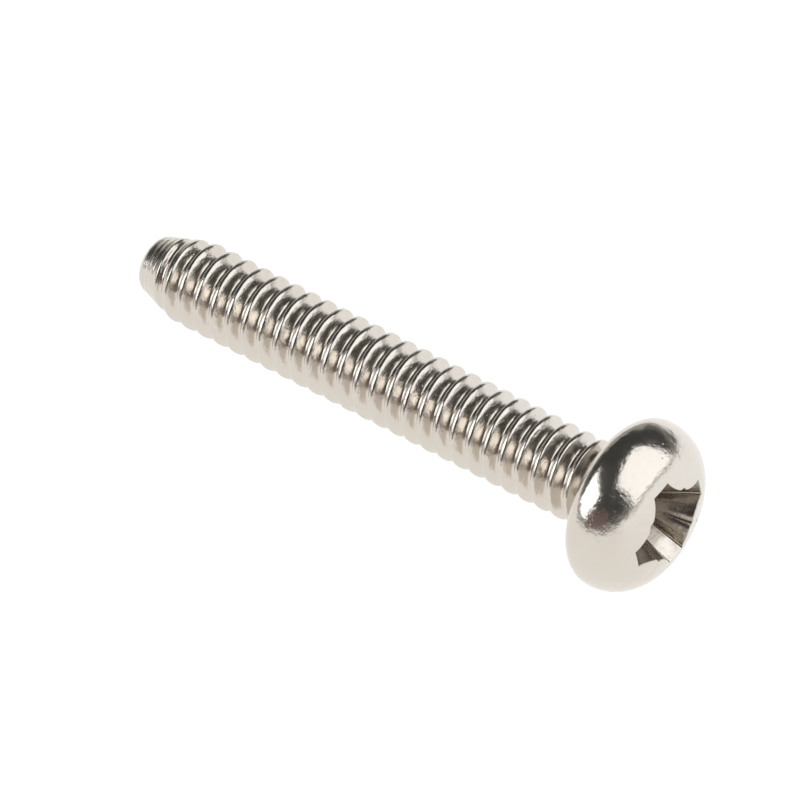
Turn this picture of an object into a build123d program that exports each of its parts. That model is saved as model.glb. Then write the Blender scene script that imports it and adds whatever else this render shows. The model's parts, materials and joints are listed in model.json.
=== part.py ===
from build123d import *
import math
import os

# Cross-recessed raised cheese head machine screw, M1.6 x 10, headed and rolled from one piece.
# It is drawn about the X axis first, with its head towards +X and its bearing face at X = 0.
# It is then laid on Z = 0, where the edge of its head and the end of its full thread touch.
# All sizes are in millimetres. The thread itself is a plain cylinder over its crests.

# Shank
SHANK_LENGTH = 10.0           # bearing face to tip
THREAD_CREST_DIAMETER = 1.54  # within the 6g limits of M1.6
UNDERHEAD_FILLET_RADIUS = 0.10
LEAD_LENGTH = 0.80            # tapered first turns at the tip
LEAD_DROP = 0.27              # how far the taper falls below the crests
TIP_EDGE_RADIUS = 0.08

# Head
HEAD_DIAMETER = 3.10
HEAD_HEIGHT = 1.34            # bearing face to the top of the dome
DOME_RADIUS = 2.95
SHOULDER_RADIUS = 0.80        # rounding from the side of the head to the dome
UNDERSIDE_EDGE_RADIUS = 0.38
LEAST_SIDE_HEIGHT = 0.02      # straight side kept between the two roundings

# Drive recess: four wings with rounded lobes of metal between them
WINGS = 4
RECESS_DEPTH = 0.92           # top of the dome to the foot of the wings
TOP_WING_REACH = 0.95         # axis to the end of a wing, level with the top of the dome
TOP_WING_WIDTH = 0.39
TOP_LOBE_REACH = 0.66         # axis to the middle of a lobe, at the same level
FOOT_WING_REACH = 0.44        # the same three sizes at the foot of the wings
FOOT_WING_WIDTH = 0.30
FOOT_LOBE_REACH = 0.27
PIT_DEPTH = 0.16              # conical pit below the wings
PIT_RADIUS = 0.22
RECESS_CLOCKING = 8.7         # degrees from the Y axis to a wing, about the screw's own axis

# Radial marks on the lobes, which tell this recess from a plain cross
MARK_WIDTH = 0.05
MARK_DEPTH = 0.03
MARK_END_RADIUS = 0.94

CUTTER_CLEARANCE = 0.10       # how far a cutter starts outside the metal
SEAM_TURN = 9.0               # turns the round faces' seam off the line that the screw lies on

WING_ANGLE = 360 / WINGS
HEAD_RADIUS = HEAD_DIAMETER / 2
CREST_RADIUS = THREAD_CREST_DIAMETER / 2
TIP_RADIUS = CREST_RADIUS - LEAD_DROP
DOME_CENTRE = HEAD_HEIGHT - DOME_RADIUS


def shoulder_centre():
    """Centre of the shoulder arc, tangent inside the dome and to the side of the head."""
    offset = HEAD_RADIUS - SHOULDER_RADIUS
    rise = math.sqrt((DOME_RADIUS - SHOULDER_RADIUS) ** 2 - offset**2)
    return DOME_CENTRE + rise, offset


def underside_radius():
    """Rounding of the underside's edge, limited by the height of the head's side."""
    return min(UNDERSIDE_EDGE_RADIUS, shoulder_centre()[0] - LEAST_SIDE_HEIGHT)


def lying_angle():
    """Slope of the axis, in degrees, when the screw lies on a floor.

    The floor is tangent to the underside's rounded edge and passes through the thread's end.
    """
    rounding = underside_radius()
    along = rounding + SHANK_LENGTH - LEAD_LENGTH
    across = HEAD_RADIUS - rounding - CREST_RADIUS
    to_centre = math.atan2(across, along)
    to_tangent = math.asin(rounding / math.hypot(along, across))
    return math.degrees(to_centre + to_tangent)


def arc_through(centre, radius, start, end):
    """Arc between two angles in degrees, measured at its centre from the X axis."""
    angles = [math.radians(angle) for angle in (start, (start + end) / 2, end)]
    points = [
        (centre[0] + radius * math.cos(angle), centre[1] + radius * math.sin(angle))
        for angle in angles
    ]
    return ThreePointArc(*points)


def bearing_edges(body):
    """Edges of the bearing face, the one round the shank first."""
    return body.edges().filter_by_position(Axis.X, 0, 0).sort_by(SortBy.RADIUS)


def blank():
    """Head and shank as one body of revolution about the X axis."""
    shoulder = shoulder_centre()
    tangent_angle = math.degrees(math.atan2(shoulder[1], shoulder[0] - DOME_CENTRE))
    with BuildPart() as body:
        with BuildSketch():
            with BuildLine():
                arc_through(shoulder, SHOULDER_RADIUS, 90, tangent_angle)
                arc_through((DOME_CENTRE, 0), DOME_RADIUS, tangent_angle, 0)
                Polyline(
                    (HEAD_HEIGHT, 0),
                    (-SHANK_LENGTH, 0),
                    (-SHANK_LENGTH, TIP_RADIUS),
                    (LEAD_LENGTH - SHANK_LENGTH, CREST_RADIUS),
                    (0, CREST_RADIUS),
                    (0, HEAD_RADIUS),
                    (shoulder[0], HEAD_RADIUS),
                )
            make_face()
        revolve(axis=Axis.X)
        fillet(bearing_edges(body)[-1], radius=underside_radius())
        fillet(bearing_edges(body)[0], radius=UNDERHEAD_FILLET_RADIUS)
        tip_face = body.faces().sort_by(Axis.X)[0]
        fillet(tip_face.edges(), radius=TIP_EDGE_RADIUS)
    return Rot(SEAM_TURN, 0, 0) * body.part


def recess_section(level, wing_reach, wing_width, lobe_reach):
    """Recess outline at a height: straight wing ends, joined by arcs round the lobes."""
    half_width = wing_width / 2
    lobe_middle = lobe_reach * math.sqrt(0.5)
    quarter = [
        (wing_reach, -half_width),
        (wing_reach, half_width),
        (lobe_middle, lobe_middle),
        (half_width, wing_reach),
    ]
    with BuildSketch(Plane.YZ.offset(level)) as section:
        with BuildLine():
            for wing in range(WINGS):
                turned = [Vector(*point).rotate(Axis.Z, wing * WING_ANGLE) for point in quarter]
                Line(turned[0], turned[1])
                ThreePointArc(*turned[1:])
        make_face()
    return section.sketch


def recess_cutter():
    """Tapered cross with a conical pit below it and straight walls above the dome."""
    top = recess_section(HEAD_HEIGHT, TOP_WING_REACH, TOP_WING_WIDTH, TOP_LOBE_REACH)
    foot_level = HEAD_HEIGHT - RECESS_DEPTH
    foot = recess_section(foot_level, FOOT_WING_REACH, FOOT_WING_WIDTH, FOOT_LOBE_REACH)
    wings = loft([foot.face(), top.face()], ruled=True)
    above = extrude(top, CUTTER_CLEARANCE, dir=(1, 0, 0))
    pit_middle = Plane.YZ.offset(foot_level - PIT_DEPTH / 2)
    pit = pit_middle * Cone(0, PIT_RADIUS, PIT_DEPTH)
    return wings + above + pit


def mark_cutters():
    """Thin radial slots that follow the dome, one on the middle of each lobe."""
    inner_sphere = Pos(DOME_CENTRE, 0, 0) * Sphere(DOME_RADIUS - MARK_DEPTH)
    height = HEAD_HEIGHT + CUTTER_CLEARANCE
    slots = []
    for wing in range(WINGS):
        slot = Box(height, MARK_END_RADIUS, MARK_WIDTH, align=(Align.MIN, Align.MIN, Align.CENTER))
        turn = Rot((wing + 0.5) * WING_ANGLE, 0, 0)
        slots.append(turn * slot - inner_sphere)
    return slots


def machine_screw():
    """The whole screw, lying on Z = 0 with the middle of its footprint at the origin."""
    cutters = Part() + [recess_cutter(), *mark_cutters()]
    screw = blank() - Rot(RECESS_CLOCKING, 0, 0) * cutters
    lying = Rot(0, -lying_angle(), 0) * screw
    box = lying.bounding_box()
    middle = box.center()
    return Pos(-middle.X, -middle.Y, -box.min.Z) * lying


os.makedirs("parts", exist_ok=True)
export_step(machine_screw(), "parts/machine_screw.step")
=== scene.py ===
import json
import math

import bpy
import numpy as np
from mathutils import Matrix, Vector


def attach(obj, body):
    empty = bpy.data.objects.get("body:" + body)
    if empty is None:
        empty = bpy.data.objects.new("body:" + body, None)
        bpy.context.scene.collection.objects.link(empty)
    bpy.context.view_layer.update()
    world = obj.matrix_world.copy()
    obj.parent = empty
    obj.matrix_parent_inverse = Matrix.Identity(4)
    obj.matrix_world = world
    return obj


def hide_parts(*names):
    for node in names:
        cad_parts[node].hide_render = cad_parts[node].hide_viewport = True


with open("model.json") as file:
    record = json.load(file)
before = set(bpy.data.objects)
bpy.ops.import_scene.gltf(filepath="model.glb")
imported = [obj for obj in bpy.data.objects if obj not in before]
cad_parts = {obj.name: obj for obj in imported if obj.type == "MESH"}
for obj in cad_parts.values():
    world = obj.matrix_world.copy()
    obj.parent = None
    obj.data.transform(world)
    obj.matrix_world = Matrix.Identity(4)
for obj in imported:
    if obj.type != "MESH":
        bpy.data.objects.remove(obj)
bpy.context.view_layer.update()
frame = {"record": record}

# The screw is drawn about its own axis in millimetres, then laid in place in metres.
# Along the axis, 0 is the bearing face, the head is towards plus and the tip towards minus.
MM = 0.001

# Thread, M1.6 x 0.35, right-handed
PITCH = 0.35
CREST_RADIUS = 0.768
ROOT_RADIUS = 0.578
CREST_FLAT = 0.060            # width of a crest before its edges are rounded
ROOT_FLAT = 0.045
CREST_BLEND = 0.012           # how softly a flank runs into its crest and its root
ROOT_BLEND = 0.055
THREAD_PHASE = 37.15          # degrees from +Y round the axis to the line of CREST_AT_PHASE
CREST_AT_PHASE = -0.2112      # where a crest crosses that line
ROWS_PER_PITCH = 21
NECK_RADIUS = 0.665
NECK_START = -0.26            # the thread has run out into the neck between these two places
NECK_END = -0.13
UNDERHEAD_FILLET = 0.10

# Tip
SHANK_LENGTH = 10.0
LEAD_LENGTH = 0.90            # tapered first turns
LEAD_BULGE = 0.005            # how far the taper's middle stands out
LEAD_SOFTNESS = 0.03          # how softly the thread's crests are cut off by the taper
TIP_RADIUS = 0.475
TIP_EDGE = 0.18               # rounding of the tip's edge
TIP_TRACE = 0.006             # depth of the fine traces rolled over the tip
TIP_TRACE_PITCH = 0.115
TIP_TRACE_END = -9.40         # where the traces have faded out
TIP_TRACE_FADE = 0.25

# Head
HEAD_RADIUS = 1.548
UNDERSIDE_EDGE = 0.38
SHOULDER_CENTRE = (0.4049, 0.748)
SHOULDER_RADIUS = 0.80
DOME_RADIUS = 2.95
HEAD_HEIGHT = 1.338
CAD_HEAD_HEIGHT = 1.34        # from the bearing face to the recess mount on top of the dome
DOME_CENTRE = HEAD_HEIGHT - DOME_RADIUS

# Drive recess
CLOCKING = 8.7                # degrees from +Y to the middle of a wing
RIM_REACH, RIM_HALF_WIDTH, RIM_LOBE = 0.885, 0.190, 0.630
FOOT_REACH, FOOT_HALF_WIDTH, FOOT_LOBE = 0.44, 0.150, 0.27
FOOT_LEVEL = 0.42
PIT_LEVEL = 0.26
LOBE_NOTCH = 0.045            # depth of the little notch on the middle of a lobe's rim
NOTCH_WIDTH = 0.11            # as a share of half a lobe
LIP = 0.018                   # rounding where the dome turns down into the recess
MARK_START, MARK_END = 0.74, 0.94      # radial marks on the dome between the wings
MARK_FADE = 0.02
MARK_WIDTH, MARK_DEPTH = 0.022, 0.016

# On one wing's end wall most of the recess's painted shade is lifted, so the wall shows its bright
# reflection. The angle is in radians from the wing's middle, and the depth is below the top of the
# dome. Each pair is where the lifting starts and stops fading.
UNSHADED_WING = 270          # degrees round from the first wing
UNSHADED_ANGLE = (0.26, 0.40)
UNSHADED_DEPTH = (0.44, 0.58)
UNSHADED_SHARE = 0.85

WING_STEPS = 8
LOBE_STEPS = 26

# Steel, with the scale of each pattern in features per millimetre
CLEAN_STEEL = ((0.655, 0.602, 0.532), (0.702, 0.650, 0.582))
# the darker steel is painted shade in the recess, and random stains elsewhere
STAINED_AND_SHADED_STEEL = ((0.33, 0.29, 0.245), (0.48, 0.43, 0.37))
CLOUD_SCALE = 1.3
DENT_SCALE = 2.2
GRAIN_SCALE = 7.0
PIT_SCALE = 7.0
FINE_SCALE = 34.0
ROLLING_SCALE = 30.0
ROLLING_STRETCH = 0.10        # rolling marks are ten times longer round the shank than across
BUMP_DEPTH = 0.010


def quarter_outline(reach, half_width, lobe, notch):
    """One quarter of the recess outline, from one wing's end to the next.

    A straight wing end is followed by the arc through its corner, the lobe's middle and the
    next wing's corner. A bell-shaped notch pulls the middle of the lobe outwards.
    """
    across = np.linspace(-half_width, half_width, WING_STEPS + 1)[:-1]
    end = np.stack([np.full_like(across, reach), across], 1)
    middle = lobe * math.sqrt(0.5)
    # centre of the arc lies on the diagonal, equally far from the corner and the lobe's middle
    corner = np.array([reach, half_width])
    centre = (corner @ corner - 2 * middle**2) / (2 * (corner.sum() - 2 * middle))
    radius = math.sqrt(2) * (centre - middle)
    start = math.atan2(half_width - centre, reach - centre)
    stop = math.atan2(reach - centre, half_width - centre)
    start += 2 * math.pi if start < 0 else 0
    stop += 2 * math.pi if stop < 0 else 0
    turn = np.linspace(start, stop, LOBE_STEPS + 1)[:-1]
    arc = centre + radius * np.stack([np.cos(turn), np.sin(turn)], 1)
    place = np.abs(np.arange(LOBE_STEPS) / LOBE_STEPS - 0.5) * 2
    push = notch * np.exp(-((place / NOTCH_WIDTH) ** 2))
    arc *= 1 + (push / np.linalg.norm(arc, axis=1))[:, None]
    return np.concatenate([end, arc])


def recess_outline(reach, half_width, lobe, notch=0.0):
    """The whole recess outline: the quarter turned to the four wings."""
    quarter = quarter_outline(reach, half_width, lobe, notch)
    turns = []
    for wing in range(4):
        angle = math.radians(CLOCKING + 90 * wing)
        turn = np.array([[math.cos(angle), math.sin(angle)], [-math.sin(angle), math.cos(angle)]])
        turns.append(quarter @ turn)
    return np.concatenate(turns)


def soft_step(value, low, high):
    """0 below low, 1 above high, and a smooth cubic between them."""
    part = np.clip((value - low) / (high - low), 0, 1)
    return part * part * (3 - 2 * part)


def soft_least(one, other, width):
    """The smaller of two values, with the corner where they cross rounded over width."""
    near = np.clip(0.5 + 0.5 * (other - one) / width, 0, 1)
    return other * (1 - near) + one * near - width * near * (1 - near)


def thread_radius(along, angle):
    """Radius of the rolled thread.

    The distance to the nearest crest falls off down 60 degree flanks to the root, and both
    ends of each flank are rounded by soft minima.
    """
    turns = (angle - math.radians(THREAD_PHASE)) / (2 * math.pi)
    place = (along - CREST_AT_PHASE) / PITCH - turns
    distance = np.abs(place - np.round(place)) * PITCH
    depth = CREST_RADIUS - ROOT_RADIUS
    slope = depth / (PITCH / 2 - CREST_FLAT / 2 - ROOT_FLAT / 2)
    flank = (distance - CREST_FLAT / 2) * slope
    down = soft_least(flank, np.full_like(flank, depth), ROOT_BLEND)
    down = -soft_least(-down, np.zeros_like(down), CREST_BLEND)
    return CREST_RADIUS - down


def shank_rows():
    """Places along the axis from the tip's rounded edge to the under-head fillet."""
    count = int((SHANK_LENGTH - TIP_EDGE + NECK_END) / PITCH * ROWS_PER_PITCH)
    return np.linspace(TIP_EDGE - SHANK_LENGTH, NECK_END, count)


def shank_radius(along, angle):
    """Radius of the whole shank.

    The thread is cut off by the lead cone at the tip, which a cosine of the place along the
    axis and the angle marks with fine traces, and it runs out into the neck by a smooth step.
    """
    thread = thread_radius(along, angle)
    share = (along + SHANK_LENGTH) / LEAD_LENGTH
    cone = TIP_RADIUS + share * (CREST_RADIUS - TIP_RADIUS)
    cone = cone + LEAD_BULGE * np.sin(np.clip(share, 0, 1) * math.pi)
    body = soft_least(thread, cone, LEAD_SOFTNESS)
    trace = 0.5 - 0.5 * np.cos(2 * math.pi * along / TIP_TRACE_PITCH - angle)
    trace = trace * (1 - soft_step(along, TIP_TRACE_END - TIP_TRACE_FADE, TIP_TRACE_END))
    body = body - TIP_TRACE * trace
    neck = soft_step(along, NECK_START, NECK_END)
    return body * (1 - neck) + NECK_RADIUS * neck


def arc_rows(centre, radius, start, stop, count):
    """Points (along, radius) on an arc between two angles measured from the axis."""
    turn = np.radians(np.linspace(start, stop, count))
    return np.stack([centre[0] + radius * np.cos(turn), centre[1] + radius * np.sin(turn)], 1)


def dome_level(radius):
    """Height of the dome at a distance from the axis."""
    return DOME_CENTRE + np.sqrt(DOME_RADIUS**2 - radius**2)


def mark_depth(radius, angle):
    """Depth of the radial marks: a bell across each lobe's diagonal, faded at both ends."""
    turn = (angle - math.radians(CLOCKING + 45)) / (math.pi / 2)
    across = (turn - np.round(turn)) * (math.pi / 2) * radius
    along = soft_step(radius, MARK_START - MARK_FADE, MARK_START + MARK_FADE)
    along = along * (1 - soft_step(radius, MARK_END - MARK_FADE, MARK_END + MARK_FADE))
    return MARK_DEPTH * along * np.exp(-((across / MARK_WIDTH) ** 2))


def screw_grid():
    """All points of the screw as rows by columns, in millimetres, in the axis's own frame.

    Columns go round the axis at the angles of the recess outline. Rows go from the tip's
    middle along the shank, up the head, over the dome to the rim and down the recess. Two
    more arrays say how much each point belongs to the rolled shank and to the recess, where
    the steel's colour is darkened as painted shade.
    """
    rim = recess_outline(RIM_REACH, RIM_HALF_WIDTH, RIM_LOBE, LOBE_NOTCH)
    foot = recess_outline(FOOT_REACH, FOOT_HALF_WIDTH, FOOT_LOBE)
    angle = np.unwrap(np.arctan2(rim[:, 1], rim[:, 0]))
    unit = np.stack([np.cos(angle), np.sin(angle)], 1)
    rows = []

    def ring(along, radius):
        """One row at the columns' own angles."""
        radius = np.broadcast_to(radius, angle.shape)
        along = np.broadcast_to(along, angle.shape)
        rows.append(np.column_stack([along, unit * radius[:, None]]))

    # flat of the tip and its rounded edge
    for share in (0.0, 0.35, 0.7, 0.9):
        ring(-SHANK_LENGTH, share * (TIP_RADIUS - TIP_EDGE))
    first = shank_radius(np.full_like(angle, TIP_EDGE - SHANK_LENGTH), angle)
    for turn in np.radians(np.linspace(0, 90, 7))[:-1]:
        along = -SHANK_LENGTH + TIP_EDGE * (1 - math.cos(turn))
        ring(along, TIP_RADIUS - TIP_EDGE + (first - TIP_RADIUS + TIP_EDGE) * math.sin(turn))
    for along in shank_rows():
        ring(along, shank_radius(np.full_like(angle, along), angle))
    # fillet under the head, bearing face, rounded edge of the underside
    neck_top = NECK_RADIUS + UNDERHEAD_FILLET
    for along, radius in arc_rows((-UNDERHEAD_FILLET, neck_top), UNDERHEAD_FILLET, 270, 360, 8)[1:]:
        ring(along, radius)
    flat_end = HEAD_RADIUS - UNDERSIDE_EDGE
    for share in (0.25, 0.5, 0.75):
        ring(0.0, neck_top + (flat_end - neck_top) * share)
    for along, radius in arc_rows((UNDERSIDE_EDGE, flat_end), UNDERSIDE_EDGE, 180, 90, 14):
        ring(along, radius)
    # shoulder and dome
    join = math.degrees(math.atan2(SHOULDER_CENTRE[1], SHOULDER_CENTRE[0] - DOME_CENTRE))
    for along, radius in arc_rows(SHOULDER_CENTRE, SHOULDER_RADIUS, 90, join, 20):
        ring(along, radius)
    edge = SHOULDER_CENTRE[1] + SHOULDER_RADIUS * math.sin(math.radians(join))
    rim_radius = np.linalg.norm(rim, axis=1)
    for share in np.linspace(0.09, 1.0, 11):
        radius = edge + (rim_radius + LIP - edge) * share
        ring(dome_level(radius) - mark_depth(radius, angle), radius)
    ring(dome_level(rim_radius + 0.3 * LIP) - 0.25 * LIP, rim_radius + 0.3 * LIP)
    head_rows = len(rows)
    # recess walls, straight from the rim to the foot
    top = dome_level(rim_radius) - LIP
    for share in np.linspace(0, 1, 13):
        points = rim + (foot - rim) * share
        rows.append(np.column_stack([top + (FOOT_LEVEL - top) * share, points]))
    for share in (0.2, 0.5, 0.8, 1.0):
        points = foot * (1 - share)
        level = FOOT_LEVEL + (PIT_LEVEL - FOOT_LEVEL) * share**2
        rows.append(np.column_stack([np.full(len(points), level), points]))
    rows = np.array(rows)
    rolled = 1 - soft_step(rows[..., 0], -0.15, -0.02)
    # the recess mask: the recess gets dents and painted shade in its colour, and the lip row gets
    # part of it
    punched = np.zeros(rows.shape[:2])
    punched[head_rows - 1] = 0.4
    punched[head_rows:] = 1.0
    # on one wing's end wall most of the painted shade is lifted, so the wall's reflection shows
    # bright
    turn = np.arctan2(rows[..., 2], rows[..., 1]) - math.radians(CLOCKING + UNSHADED_WING)
    turn = np.abs((turn + math.pi) % (2 * math.pi) - math.pi)
    bright = 1 - soft_step(turn, *UNSHADED_ANGLE)
    shallow, deep = UNSHADED_DEPTH
    bright = bright * soft_step(rows[..., 0], HEAD_HEIGHT - deep, HEAD_HEIGHT - shallow)
    punched = punched * (1 - UNSHADED_SHARE * bright)
    return rows, rolled, punched


def close_grid(rows):
    """Vertices and faces of a grid that is closed round its columns and to a point at each end."""
    count, columns = rows.shape[:2]
    body = rows[1:-1].reshape(-1, 3)
    poles = rows[[0, -1], 0]
    vertices = np.concatenate([body, poles])
    index = np.arange((count - 2) * columns).reshape(count - 2, columns)
    after = np.roll(index, -1, axis=1)
    quads = np.stack([index[:-1], after[:-1], after[1:], index[1:]], -1).reshape(-1, 4)
    low, high = len(body), len(body) + 1
    start = np.column_stack([np.full(columns, low), after[0], index[0]])
    stop = np.column_stack([np.full(columns, high), index[-1], after[-1]])
    return vertices, quads, np.concatenate([start, stop])


def drive_recess():
    """The record's own recess mount: its place is the dome's top, its axis the screw's."""
    return next(m for m in frame["record"]["mounts"] if m["name"] == "drive_recess")


def lay_down(points):
    """Axis frame in millimetres to the model's frame in metres: a turn, then a shift."""
    mount = drive_recess()
    axis = np.array(mount["axis"])
    side = np.array([0.0, 1.0, 0.0])
    up = np.cross(axis, side)
    origin = np.array(mount["pos_m"]) - CAD_HEAD_HEIGHT * MM * axis
    return origin + MM * (points @ np.array([axis, side, up]))


def build_mesh(name, vertices, quads, triangles):
    """A smooth mesh of quads and triangles from whole arrays."""
    mesh = bpy.data.meshes.new(name)
    loops = np.concatenate([quads.ravel(), triangles.ravel()])
    sizes = np.concatenate([np.full(len(quads), 4), np.full(len(triangles), 3)])
    mesh.vertices.add(len(vertices))
    mesh.vertices.foreach_set("co", vertices.astype(np.float32).ravel())
    mesh.loops.add(len(loops))
    mesh.loops.foreach_set("vertex_index", loops.astype(np.int32))
    mesh.polygons.add(len(sizes))
    starts = np.concatenate([[0], np.cumsum(sizes)[:-1]])
    mesh.polygons.foreach_set("loop_start", starts.astype(np.int32))
    mesh.update(calc_edges=True)
    mesh.validate()
    mesh.polygons.foreach_set("use_smooth", np.ones(len(sizes), bool))
    piece = bpy.data.objects.new(name, mesh)
    bpy.context.scene.collection.objects.link(piece)
    return piece


class Value:
    """A shader socket that arithmetic can be written on: each operator adds its Math node."""

    def __init__(self, tree, socket):
        self.tree = tree
        self.socket = socket

    def _math(self, operation, *inputs):
        return self.tree.node("ShaderNodeMath", {"operation": operation}, *inputs)[0]

    def __add__(self, other):
        return self._math("ADD", self, other)

    def __radd__(self, other):
        return self._math("ADD", other, self)

    def __sub__(self, other):
        return self._math("SUBTRACT", self, other)

    def __rsub__(self, other):
        return self._math("SUBTRACT", other, self)

    def __mul__(self, other):
        return self._math("MULTIPLY", self, other)

    def __rmul__(self, other):
        return self._math("MULTIPLY", other, self)


class Tree:
    """A material's nodes: one method adds any node, settings first, then inputs."""

    def __init__(self, material):
        material.use_nodes = True
        self.nodes = material.node_tree.nodes
        self.links = material.node_tree.links
        self.nodes.clear()

    def node(self, kind, settings=None, *values, **named):
        """Adds a node and returns its outputs, each as a Value."""
        node = self.nodes.new(kind)
        for key, value in (settings or {}).items():
            if key == "stops":
                ramp = node.color_ramp
                while len(ramp.elements) < len(value):
                    ramp.elements.new(0.5)
                for element, (place, colour) in zip(ramp.elements, value):
                    element.position = place
                    element.color = (*colour, 1)
            else:
                setattr(node, key, value)
        pairs = list(enumerate(values))
        pairs += [(key.replace("_", " "), value) for key, value in named.items()]
        for key, value in pairs:
            target = node.inputs[key]
            if isinstance(value, Value):
                self.links.new(value.socket, target)
            elif value is not None:
                target.default_value = value
        self.last = node
        return [Value(self, socket) for socket in node.outputs]


def ramp_between(tree, value, low, high, bottom=0.0, top=1.0):
    """Map Range from low..high to bottom..top, held at both ends."""
    settings = {"interpolation_type": "SMOOTHSTEP"}
    return tree.node("ShaderNodeMapRange", settings, value, low, high, bottom, top)[0]


def mix_colour(tree, share, one, other):
    """Mix of two colours, each a constant or a link."""
    tree.node("ShaderNodeMix", {"data_type": "RGBA"})
    mixer = tree.last
    for key, value in ((0, share), (6, one), (7, other)):
        if isinstance(value, Value):
            tree.links.new(value.socket, mixer.inputs[key])
        else:
            mixer.inputs[key].default_value = (*value, 1)
    return Value(tree, mixer.outputs[2])


def screw_steel(name):
    """Bright rolled stainless steel: warm grey, softly wavy, with grain, pits and rolling marks.

    The recess is dented, duller and darkened as painted shade, with random stains from the
    grain and a ragged edge where the painted shade is lifted on one wing's end wall.
    """
    material = bpy.data.materials.new(name)
    tree = Tree(material)
    place = tree.node("ShaderNodeTexCoord")[3]

    def noise(scale, detail, roughness=0.6, vector=place):
        """Noise in the space of the object, in features per millimetre."""
        return tree.node(
            "ShaderNodeTexNoise", {}, Vector=vector, Scale=scale / MM, Detail=detail,
            Roughness=roughness,
        )[0]

    def own(label):
        """One of the mesh's own attributes as a number."""
        return tree.node("ShaderNodeAttribute", {"attribute_name": label})[2]

    on_shank, in_recess = own("rolled"), own("punched")
    axis = drive_recess()["axis"]
    lean = math.atan2(axis[2], axis[0])
    level = tree.node(
        "ShaderNodeMapping", {}, Vector=place, Rotation=(0.0, lean, 0.0),
        Scale=(1.0, ROLLING_STRETCH, ROLLING_STRETCH),
    )[0]
    rolling = noise(ROLLING_SCALE, 3.0, vector=level)
    cloud = noise(CLOUD_SCALE, 4.0)
    grain = noise(GRAIN_SCALE, 4.0, 0.62)
    fine = noise(FINE_SCALE, 2.0, 0.5)
    pits = tree.node(
        "ShaderNodeTexVoronoi", {"feature": "F1"}, Vector=place, Scale=PIT_SCALE / MM,
        Randomness=1.0,
    )[0]
    pit = 1 - ramp_between(tree, pits, 0.04, 0.20)
    pit = pit * ramp_between(tree, cloud, 0.48, 0.62) * (1 - in_recess)
    clean = mix_colour(tree, cloud, *CLEAN_STEEL)
    # darker steel: painted shade over the recess, and random stains where the grain runs high
    stained_and_shaded = mix_colour(tree, grain, *STAINED_AND_SHADED_STEEL)
    # share of the darker steel: all of the recess as painted shade, plus random stains; it also adds
    # roughness
    dull_and_shaded = ramp_between(tree, in_recess + grain * 0.6, 0.35, 0.75)
    colour = mix_colour(tree, dull_and_shaded * 0.95, clean, stained_and_shaded)
    marks = rolling * on_shank * 0.35
    dents = noise(DENT_SCALE, 2.0) * in_recess * 2.0
    patchy = ramp_between(tree, cloud, 0.42, 0.60, 0.15, 0.62)
    height = grain * patchy + fine * 0.10 + cloud * 1.2 + marks - pit * 0.30 + dents
    bump = tree.node(
        "ShaderNodeBump", {}, Strength=1.0, Distance=BUMP_DEPTH * MM, Height=height
    )[0]
    roughness = ramp_between(tree, grain, 0.35, 0.7, 0.15, 0.21) + pit * 0.12
    roughness = roughness + on_shank * 0.03 + dull_and_shaded * 0.09
    surface = tree.node(
        "ShaderNodeBsdfPrincipled", {}, Base_Color=colour, Metallic=1.0,
        Roughness=roughness, Normal=bump,
    )[0]
    tree.node("ShaderNodeOutputMaterial", {}, surface)
    return material


def matt(name, base, glow, strength):
    """A plain matt surface that also gives off light of its own, in one colour or a pattern."""
    material = bpy.data.materials.new(name)
    tree = Tree(material)
    shine = glow(tree) if callable(glow) else (*glow, 1)
    surface = tree.node(
        "ShaderNodeBsdfPrincipled", {}, Base_Color=(*base, 1), Roughness=1.0,
        Specular_IOR_Level=0.0, Emission_Color=shine, Emission_Strength=strength,
    )[0]
    tree.node("ShaderNodeOutputMaterial", {}, surface)
    return material


def toward(azimuth, elevation):
    """Unit direction: azimuth in degrees from +X towards +Y, elevation up from the floor."""
    a, e = math.radians(azimuth), math.radians(elevation)
    return Vector((math.cos(a) * math.cos(e), math.sin(a) * math.cos(e), math.sin(e)))


def card(name, azimuth, elevation, distance, width, height, colour, strength):
    """A flat card that faces the screw from a direction."""
    centre = toward(azimuth, elevation) * distance
    back = centre.normalized()
    across = Vector((0, 0, 1)).cross(back).normalized()
    up = back.cross(across)
    half_across, half_up = across * width / 2, up * height / 2
    corners = [centre - half_across - half_up, centre + half_across - half_up,
               centre + half_across + half_up, centre - half_across + half_up]
    mesh = bpy.data.meshes.new(name)
    mesh.from_pydata([tuple(c) for c in corners], [], [(0, 1, 2, 3)])
    piece = bpy.data.objects.new(name, mesh)
    bpy.context.scene.collection.objects.link(piece)
    mesh.materials.append(matt(name, (0, 0, 0), colour, strength))
    return piece


def soft_box(name, azimuth, elevation, distance, width, height, radiance, colour):
    """A rectangular area light that faces the screw from a direction."""
    light = bpy.data.lights.new(name, "AREA")
    light.shape = "RECTANGLE"
    light.size, light.size_y = width, height
    light.energy = radiance * math.pi * width * height
    light.color = colour
    lamp = bpy.data.objects.new(name, light)
    centre = toward(azimuth, elevation) * distance
    back = centre.normalized()
    across = Vector((0, 0, 1)).cross(back).normalized()
    up = back.cross(across)
    turn = Matrix((across, up, back)).transposed().to_4x4()
    lamp.matrix_world = Matrix.Translation(centre) @ turn
    bpy.context.scene.collection.objects.link(lamp)
    return lamp


# ---------------------------------------------------------------- the screw
rows, rolled, punched = screw_grid()
vertices, quads, triangles = close_grid(rows)
screw = build_mesh("machine_screw_steel", lay_down(vertices), quads, triangles)
for label, values in (("rolled", rolled), ("punched", punched)):
    flat = np.concatenate([values[1:-1].ravel(), values[[0, -1], 0]])
    screw.data.attributes.new(label, "FLOAT", "POINT").data.foreach_set("value", flat)
screw.data.materials.append(screw_steel("rolled_steel"))
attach(screw, "root")
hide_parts("machine_screw")

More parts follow.
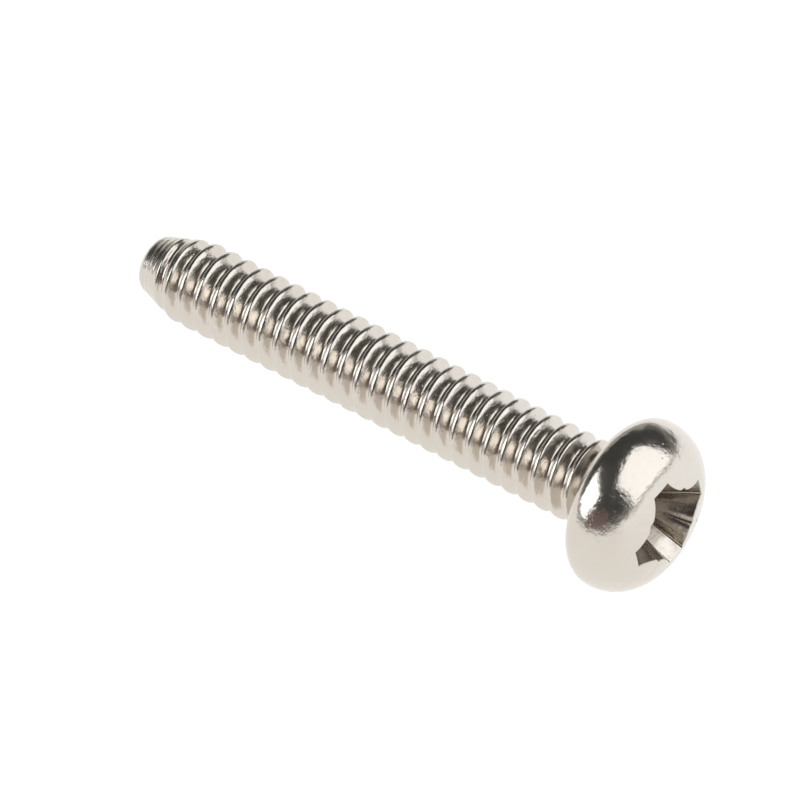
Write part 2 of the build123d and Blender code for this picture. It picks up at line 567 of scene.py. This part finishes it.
# ---------------------------------------------------------------- floor and light
def floor_glow(tree):
    """White, and a little brighter and cooler on the side that the head points to."""
    place = tree.node("ShaderNodeTexCoord")[3]
    x, y = tree.node("ShaderNodeSeparateXYZ", {}, place)[:2]
    beyond = x * 0.5 + y * 0.87
    share = ramp_between(tree, beyond, 1.0 * MM, 9.0 * MM)
    return mix_colour(tree, share, (1.0, 1.0, 1.0), (1.10, 1.12, 1.15))


floor_mesh = bpy.data.meshes.new("floor")
HALF_FLOOR = 3.0
floor_corners = [(x * HALF_FLOOR, y * HALF_FLOOR, 0) for x, y in ((-1, -1), (1, -1), (1, 1), (-1, 1))]
floor_mesh.from_pydata(floor_corners, [], [(0, 1, 2, 3)])
floor_mesh.materials.append(matt("pale_floor", (0.06, 0.06, 0.06), floor_glow, 1.0))
floor = bpy.data.objects.new("floor", floor_mesh)
bpy.context.scene.collection.objects.link(floor)

soft_box(
    "large_soft_box", azimuth=24, elevation=45.5, distance=0.30, width=0.39, height=0.48,
    radiance=1.38, colour=(1.0, 1.015, 1.05),
)
soft_box(
    "side_soft_box", azimuth=-127, elevation=31.5, distance=0.30, width=0.25, height=0.205,
    radiance=2.30, colour=(0.98, 1.01, 1.05),
)
card(
    "far_card", azimuth=140, elevation=14, distance=0.32, width=0.26, height=0.10,
    colour=(1.0, 0.98, 0.95), strength=0.42,
)
card(
    "warm_card", azimuth=-80, elevation=16, distance=0.28, width=0.25, height=0.12,
    colour=(1.0, 0.70, 0.69), strength=0.19,
)

world = bpy.data.worlds.new("studio")
bpy.context.scene.world = world
sky = Tree(world)
direction = sky.node("ShaderNodeTexCoord")[0]
rise = sky.node("ShaderNodeSeparateXYZ", {}, direction)[2]
shade = sky.node(
    "ShaderNodeValToRGB",
    {"stops": [(0.0, (0.46, 0.45, 0.435)), (0.16, (0.17, 0.168, 0.163)),
               (0.30, (0.058, 0.060, 0.060)), (1.0, (0.058, 0.060, 0.060))]},
    rise,
)[0]
background = sky.node("ShaderNodeBackground", {}, shade, 1.0)[0]
sky.node("ShaderNodeOutputWorld", {}, background)

# ---------------------------------------------------------------- camera
VIEW_AZIMUTH, VIEW_ELEVATION = 38.11, 47.61
VIEW_DISTANCE = 202.65 * MM
AIM_LEFT, AIM_UP = 3.587 * MM, 1.598 * MM      # from the middle of the bearing face
camera_turn = Matrix.Rotation(math.radians(VIEW_AZIMUTH), 4, "Z")
camera_turn = camera_turn @ Matrix.Rotation(math.radians(90 - VIEW_ELEVATION), 4, "X")
right, up, back = (camera_turn.to_3x3().col[i] for i in range(3))
bearing_centre = Vector(lay_down(np.zeros((1, 3)))[0])
aim = bearing_centre - right * AIM_LEFT + up * AIM_UP
camera_data = bpy.data.cameras.new("camera")
camera_data.lens = 540.0
camera_data.sensor_width = 36.0
camera_data.clip_start = 0.005
camera_data.clip_end = 20.0
camera = bpy.data.objects.new("camera", camera_data)
camera.matrix_world = Matrix.Translation(aim + back * VIEW_DISTANCE) @ camera_turn
bpy.context.scene.collection.objects.link(camera)
bpy.context.scene.camera = camera
bpy.context.scene.view_settings.view_transform = "Standard"
bpy.context.scene.view_settings.look = "None"
